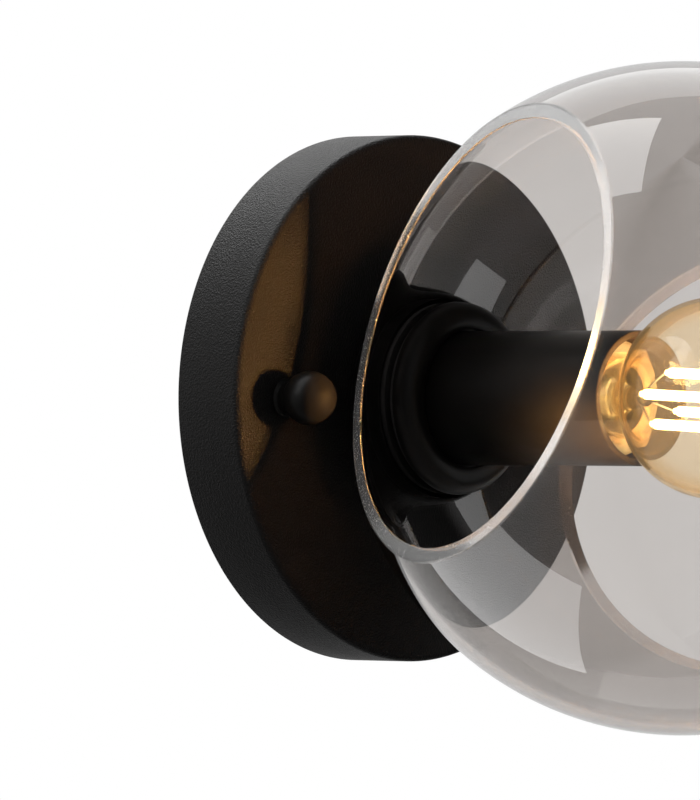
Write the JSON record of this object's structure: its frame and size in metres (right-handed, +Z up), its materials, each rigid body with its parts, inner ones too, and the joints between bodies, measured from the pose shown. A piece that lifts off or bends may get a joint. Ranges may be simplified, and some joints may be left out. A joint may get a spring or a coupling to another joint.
{
  "type": "globe wall sconce",
  "caption": "Wall sconce with a round black canopy, ball-shaped fixing nuts, a short socket tube and a smoked glass globe ground open at its sides around a warm round bulb.",
  "frame": {"origin": "the centre of the canopy's back on the wall, midway between the bracket's two wall screw slots", "axes": "+Z up, +X to the right seen from the front, -Y out of the wall along the lamp's axis"},
  "size_m": [0.1406, 0.173, 0.15],
  "materials": {
    "black_powder": "fine textured matte black powder coat",
    "black_satin": "satin black lacquer",
    "zinc_steel": "zinc plated steel",
    "brass": "turned brass",
    "tinned_copper": "tinned copper",
    "smoked_glass": "clear smoked glass, ground and polished edges",
    "bulb_glass": "clear warm glass",
    "stem_glass": "clear glass",
    "filament": "phosphor coated sticks",
    "nickel_wire": "nickel wire",
    "black_glass": "glossy black glass",
    "solder": "solder",
    "gasket_rubber": "soft black rubber",
    "ceramic": "glazed porcelain",
    "terminal_plastic": "white moulded plastic",
    "lead_brown": "brown sleeve",
    "lead_blue": "blue sleeve",
    "lead_green": "green and yellow sleeve"
  },
  "bodies": {
    "base": {"canopy": "black_powder", "crossbar": "zinc_steel", "studs": "zinc_steel", "stud_lock_nuts": "zinc_steel", "nipple": "brass", "nipple_washer": "zinc_steel", "nipple_nut": "brass", "seat_cup": "black_satin", "outer_gasket": "gasket_rubber", "socket_tube": "black_satin", "holder_yoke": "zinc_steel", "yoke_nut": "brass", "yoke_rivets": "brass", "holder_body": "ceramic", "screw_shell": "brass", "centre_contact": "brass", "holder_terminals": "brass", "terminal_block": "terminal_plastic", "terminal_inserts": "brass", "terminal_screws": "zinc_steel", "block_screws": "zinc_steel", "earth_screw": "brass", "earth_tag": "tinned_copper", "live_lead": "lead_brown", "neutral_lead": "lead_blue", "earth_lead": "lead_green"},
    "ball_nut_left": {"ball_nut_left": "black_satin"},
    "ball_nut_right": {"ball_nut_right": "black_satin"},
    "ring_gasket": {"inner_gasket": "gasket_rubber"},
    "retaining_ring": {"retaining_ring": "black_satin"},
    "globe": {"globe": "smoked_glass"},
    "bulb_contact_end": {"bulb_insulator": "black_glass", "bulb_tip": "solder"},
    "bulb": {"bulb_cap": "brass", "bulb_envelope": "bulb_glass", "bulb_stem": "stem_glass", "filaments": "filament", "filament_supports": "nickel_wire"}
  },
  "joints": [
    {"name": "ball_nut_left_travel", "type": "slide", "parent": "base", "child": "ball_nut_left", "axis": [0, -1, 0], "range_m": [0, 0.0035]},
    {"name": "ball_nut_right_travel", "type": "slide", "parent": "base", "child": "ball_nut_right", "axis": [0, -1, 0], "range_m": [0, 0.0035]},
    {"name": "ring_travel", "type": "slide", "parent": "base", "child": "ring_gasket", "axis": [0, -1, 0], "range_m": [0, 0.003]},
    {"name": "ring_turn", "type": "hinge", "parent": "ring_gasket", "child": "retaining_ring", "pos_m": [0, 0, 0], "axis": [0, -1, 0], "range_deg": [0, 720]},
    {"name": "globe_turn", "type": "hinge", "parent": "base", "child": "globe", "pos_m": [0, 0, 0], "axis": [0, -1, 0], "continuous": true},
    {"name": "bulb_travel", "type": "slide", "parent": "base", "child": "bulb_contact_end", "axis": [0, -1, 0], "range_m": [0, 0.0198]},
    {"name": "bulb_turn", "type": "hinge", "parent": "bulb_contact_end", "child": "bulb", "pos_m": [0, 0, 0], "axis": [0, -1, 0], "range_deg": [0, 2520]}
  ],
  "couplings": [
    {"joint": "ring_travel", "follows": "ring_turn", "m_per_rad": 0.00023873},
    {"joint": "bulb_travel", "follows": "bulb_turn", "m_per_rad": 0.00044882}
  ]
}
